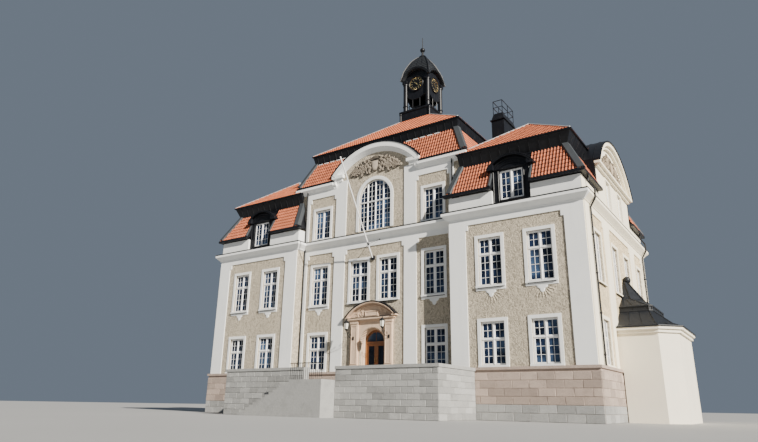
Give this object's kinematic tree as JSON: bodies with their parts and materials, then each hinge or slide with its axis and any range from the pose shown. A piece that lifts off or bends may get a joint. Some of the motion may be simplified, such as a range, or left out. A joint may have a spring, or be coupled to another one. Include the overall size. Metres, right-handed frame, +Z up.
{
  "type": "town hall building",
  "caption": "Free-standing masonry town hall with mansard tile roofs, curved gables, a clock turret, a stone portal with oak doors, a terrace and a side annex.",
  "frame": {"origin": "on the ground below the front plane of the wings, on the axis of the entrance", "axes": "+X along the front to the right, +Y into the building, +Z up"},
  "size_m": [35.095, 22.955, 34.2],
  "materials": {
    "stone": "rough hewn stone",
    "plaster": "rough-cast and smooth plaster",
    "smooth_plaster": "smooth plaster",
    "timber_floor": "boards on beams",
    "roof_tile": "clay tile",
    "black_metal": "black painted sheet metal",
    "dome_metal": "grey sheet metal",
    "dial": "black enamel with gilt marks",
    "gilt": "gilt",
    "window_white": "white paint",
    "window_glass": "clear glass",
    "sandstone": "dressed sandstone",
    "oak": "varnished oak",
    "pole_white": "white paint"
  },
  "bodies": {
    "building": {"annex_roof": "black_metal", "annex_walls": "plaster", "attic_walls": "smooth_plaster", "back_wall": "plaster", "break_bands": "black_metal", "centre_gable": "plaster", "centre_wall_left": "plaster", "centre_wall_right": "plaster", "centre_wall_upper": "plaster", "chimneys": "black_metal", "clock_dials": "dial", "cornices": "smooth_plaster", "door_frame": "oak", "dormers": "black_metal", "flagpole": "pole_white", "floors": "timber_floor", "front_wall_left": "plaster", "front_wall_right": "plaster", "gable_roofs": "black_metal", "gutters_and_downpipes": "black_metal", "mansard_slopes": "roof_tile", "plaster_strips": "smooth_plaster", "plinth": "stone", "portal": "sandstone", "portal_lanterns": "black_metal", "side_gables": "plaster", "side_wall_left": "plaster", "side_wall_right": "plaster", "terrace_floor": "stone", "terrace_railing": "black_metal", "terrace_walls": "stone", "third_storey_sides": "plaster", "turret_base": "black_metal", "turret_body": "black_metal", "turret_dome": "dome_metal", "turret_spire": "black_metal", "upper_roofs": "roof_tile", "wall_over_door": "plaster", "window_frames": "window_white", "window_glass": "window_glass", "window_surrounds": "smooth_plaster"},
    "door_leaf_left": {"door_leaf_left": "oak"},
    "door_leaf_right": {"door_leaf_right": "oak"},
    "hour_hand_back": {"hour_hand_back": "gilt"},
    "hour_hand_front": {"hour_hand_front": "gilt"},
    "hour_hand_left": {"hour_hand_left": "gilt"},
    "hour_hand_right": {"hour_hand_right": "gilt"},
    "minute_hand_back": {"minute_hand_back": "gilt"},
    "minute_hand_front": {"minute_hand_front": "gilt"},
    "minute_hand_left": {"minute_hand_left": "gilt"},
    "minute_hand_right": {"minute_hand_right": "gilt"}
  },
  "joints": [
    {"name": "minute_hand_front_turn", "type": "hinge", "parent": "building", "child": "minute_hand_front", "pos_m": [0, 7.05, 28.67], "axis": [0, 1, 0], "continuous": true},
    {"name": "hour_hand_front_turn", "type": "hinge", "parent": "building", "child": "hour_hand_front", "pos_m": [0, 7.05, 28.67], "axis": [0, 1, 0], "continuous": true},
    {"name": "minute_hand_right_turn", "type": "hinge", "parent": "building", "child": "minute_hand_right", "pos_m": [1.25, 8.3, 28.67], "axis": [-1, 0, 0], "continuous": true},
    {"name": "hour_hand_right_turn", "type": "hinge", "parent": "building", "child": "hour_hand_right", "pos_m": [1.25, 8.3, 28.67], "axis": [-1, 0, 0], "continuous": true},
    {"name": "minute_hand_back_turn", "type": "hinge", "parent": "building", "child": "minute_hand_back", "pos_m": [0, 9.55, 28.67], "axis": [0, -1, 0], "continuous": true},
    {"name": "hour_hand_back_turn", "type": "hinge", "parent": "building", "child": "hour_hand_back", "pos_m": [0, 9.55, 28.67], "axis": [0, -1, 0], "continuous": true},
    {"name": "minute_hand_left_turn", "type": "hinge", "parent": "building", "child": "minute_hand_left", "pos_m": [-1.25, 8.3, 28.67], "axis": [1, 0, 0], "continuous": true},
    {"name": "hour_hand_left_turn", "type": "hinge", "parent": "building", "child": "hour_hand_left", "pos_m": [-1.25, 8.3, 28.67], "axis": [1, 0, 0], "continuous": true},
    {"name": "door_left_hinge", "type": "hinge", "parent": "building", "child": "door_leaf_left", "pos_m": [-0.808, 1.55, 2.6], "axis": [0, 0, 1], "range_deg": [0, 90]},
    {"name": "door_right_hinge", "type": "hinge", "parent": "building", "child": "door_leaf_right", "pos_m": [0.808, 1.55, 2.6], "axis": [0, 0, -1], "range_deg": [0, 90]}
  ],
  "couplings": [
    {"joint": "hour_hand_front_turn", "follows": "minute_hand_front_turn", "ratio": 0.083333},
    {"joint": "minute_hand_right_turn", "follows": "minute_hand_front_turn", "ratio": 1},
    {"joint": "hour_hand_right_turn", "follows": "minute_hand_front_turn", "ratio": 0.083333},
    {"joint": "minute_hand_back_turn", "follows": "minute_hand_front_turn", "ratio": 1},
    {"joint": "hour_hand_back_turn", "follows": "minute_hand_front_turn", "ratio": 0.083333},
    {"joint": "minute_hand_left_turn", "follows": "minute_hand_front_turn", "ratio": 1},
    {"joint": "hour_hand_left_turn", "follows": "minute_hand_front_turn", "ratio": 0.083333}
  ]
}
